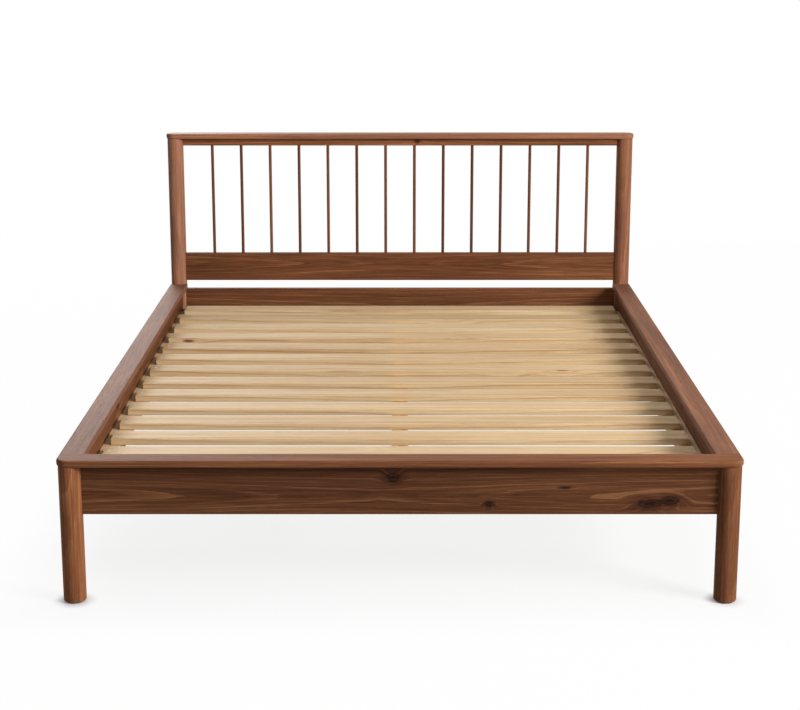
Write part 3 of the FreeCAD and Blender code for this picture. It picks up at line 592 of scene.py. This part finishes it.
# Share of the collar's width at its two ends, points round the thread and rings for each pitch
COLLAR_END_SHARE = 0.93
THREAD_STEPS = 28
PER_PITCH = 6


# Ring of points on the thread at one height; below the collar's top it is plain
def thread_ring(bm, z):
    ring = []
    for i in range(THREAD_STEPS):
        share = (z / PITCH - i / THREAD_STEPS) % 1.0
        depth = THREAD_DEPTH * (1 - abs(2 * share - 1) ** 0.8) if z > COLLAR_TOP else 0.0
        radius = STUD_RADIUS - depth
        a = 2 * math.pi * i / THREAD_STEPS
        ring.append(bm.verts.new((radius * math.cos(a), radius * math.sin(a), z)))
    return ring


def add_stud(bm, center, bottom, top):
    button_top = bottom + BUTTON_HEIGHT
    rings = [
        circle(bm, BUTTON_RADIUS, bottom, THREAD_STEPS),
        circle(bm, BUTTON_RADIUS, button_top, THREAD_STEPS),
        circle(bm, STUD_RADIUS, button_top, THREAD_STEPS),
    ]
    rows = int((top - button_top - 2 * PLAIN_END) / PITCH * PER_PITCH)
    for row in range(1, rows + 1):
        rings.append(thread_ring(bm, button_top + PLAIN_END + row * PITCH / PER_PITCH))
    rings.append(circle(bm, STUD_TIP_RADIUS, top, THREAD_STEPS))
    corner = COLLAR_ACROSS / math.sqrt(3)
    collar = [
        circle(bm, corner * COLLAR_END_SHARE, COLLAR_BOTTOM, 6),
        circle(bm, corner, COLLAR_BOTTOM + COLLAR_EDGE, 6),
        circle(bm, corner, COLLAR_TOP - COLLAR_EDGE, 6),
        circle(bm, corner * COLLAR_END_SHARE, COLLAR_TOP, 6),
    ]
    for stack in (rings, collar):
        for lower, upper in zip(stack, stack[1:]):
            bridge(bm, lower, upper)
        bm.faces.new(stack[0])
        bm.faces.new(stack[-1])
    bmesh.ops.translate(bm, vec=center, verts=bm.verts)


for end in ("front", "rear"):
    node = "leveller_stud_" + end
    low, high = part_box(node)
    bm = bmesh.new()
    add_stud(bm, Vector(((low[0] + high[0]) / 2, (low[1] + high[1]) / 2, 0)), low[2], high[2])
    piece(node + "_threaded", bm, node, node)

# White floor: its lit colour, raised towards plain white for what the camera and mirrors see, most of all
# outside the frame's outline and least close to a leg, where the contact shadow stays
FLOOR_SIZE = 60.0
UNDER_FRAME = 0.84
BESIDE_FRAME = 0.985
NEAR_BAND = (-0.1, 0.3)
FAR_BAND = (0.2, 3.0)
CORNER_LEG = "foot_leg_right"

# Each leg, the least share of white at its foot and the reach of its shadow in metres
LEG_SHADOWS = (("center_leg_front", 0.75, 0.07), (CORNER_LEG, 0.1, 0.06))


# How far a floor point lies beyond a leg and its mirror images, to the side and lengthwise
def beyond(s, point, node):
    pairs = zip(s.split(point), middle(node).xy)
    return [s.math("SUBTRACT", s.math("ABSOLUTE", part), abs(place)) for part, place in pairs]


s = Shader("studio_floor")
point = s.point()
contact = 1.0
for node, least, reach in LEG_SHADOWS:
    near = s.length(*beyond(s, point, node))
    contact = s.math("MINIMUM", contact, s.span(near, reach / 4, reach, least, 1.0))
outside = s.math("MAXIMUM", *beyond(s, point, CORNER_LEG))
near_white = s.span(outside, *NEAR_BAND, UNDER_FRAME, BESIDE_FRAME)
shade = s.math("MAXIMUM", near_white, s.span(outside, *FAR_BAND))
lift = s.math("MULTIPLY", s.seen(), s.math("MULTIPLY", shade, contact))
mottle = s.noise(point, (3.0, 3.0, 3.0), 3.0)
matt = s.add("BsdfDiffuse")
s.put(matt.inputs["Color"], s.mix(mottle, rgb(206, 206, 206), rgb(210, 210, 209)))
glow = s.add("Emission")
glow.inputs["Color"].default_value = (1, 1, 1, 1)
blend = s.add("MixShader")
s.put(blend.inputs[0], lift)
s.put(blend.inputs[1], matt.outputs[0])
s.put(blend.inputs[2], glow.outputs[0])
bm = bmesh.new()
bmesh.ops.create_grid(bm, x_segments=1, y_segments=1, size=FLOOR_SIZE)
floor_mesh = bpy.data.meshes.new("floor")
bm.to_mesh(floor_mesh)
bm.free()
floor_mesh.materials.append(s.finish(blend.outputs[0]))
floor = bpy.data.objects.new("floor", floor_mesh)
scene.collection.objects.link(floor)

# World: an even sky for the object, plain white for what the camera and mirrors see
SKY_LEVEL = 0.1
world = bpy.data.worlds.new("studio")
world.use_nodes = True
scene.world = world
w = Nodes(world.node_tree)
level = w.add("MapRange")
w.put(level.inputs["Value"], w.seen())
level.inputs["To Min"].default_value = SKY_LEVEL
level.inputs["To Max"].default_value = 1.0
background = w.add("Background")
background.inputs["Color"].default_value = (1, 1, 1, 1)
w.put(background.inputs["Strength"], level.outputs[0])
w.put(w.add("OutputWorld").inputs[0], background.outputs[0])


# Soft square lamp that faces a point; its side is in metres and its power in watts
def lamp(name, spot, aim, side, power):
    light = bpy.data.lights.new(name, "AREA")
    light.shape = "SQUARE"
    light.size = side
    light.energy = power
    holder = bpy.data.objects.new(name, light)
    holder.location = spot
    holder.rotation_mode = "QUATERNION"
    holder.rotation_quaternion = (Vector(aim) - Vector(spot)).to_track_quat("-Z", "Y")
    scene.collection.objects.link(holder)


# A large lamp overhead, a key from the right front, a weak fill from the left and a rim light from behind
lamp("overhead", (0.0, -0.6, 4.2), (0.0, 0.0, 0.3), 3.6, 35)
lamp("key", (4.6, -3.4, 2.9), (0.0, -0.3, 0.3), 2.2, 520)
lamp("fill", (-4.5, -3.0, 2.0), (0.0, 0.0, 0.4), 2.0, 6)
lamp("rim", (-2.2, 5.6, 2.8), (0.0, 0.3, 0.4), 2.4, 270)

# Camera fitted to the photograph's edges and corners; its tilt is in degrees
CAMERA_TILT = 12.733
camera = bpy.data.objects.new("camera", bpy.data.cameras.new("camera"))
camera.location = (0.0, -4.9464, 1.6026)
camera.rotation_euler = (math.radians(90 - CAMERA_TILT), 0.0, 0.0)
camera.data.sensor_width = 36.0
camera.data.lens = 75.78
camera.data.shift_y = -0.05
scene.collection.objects.link(camera)
scene.camera = camera
scene.view_settings.view_transform = "Standard"
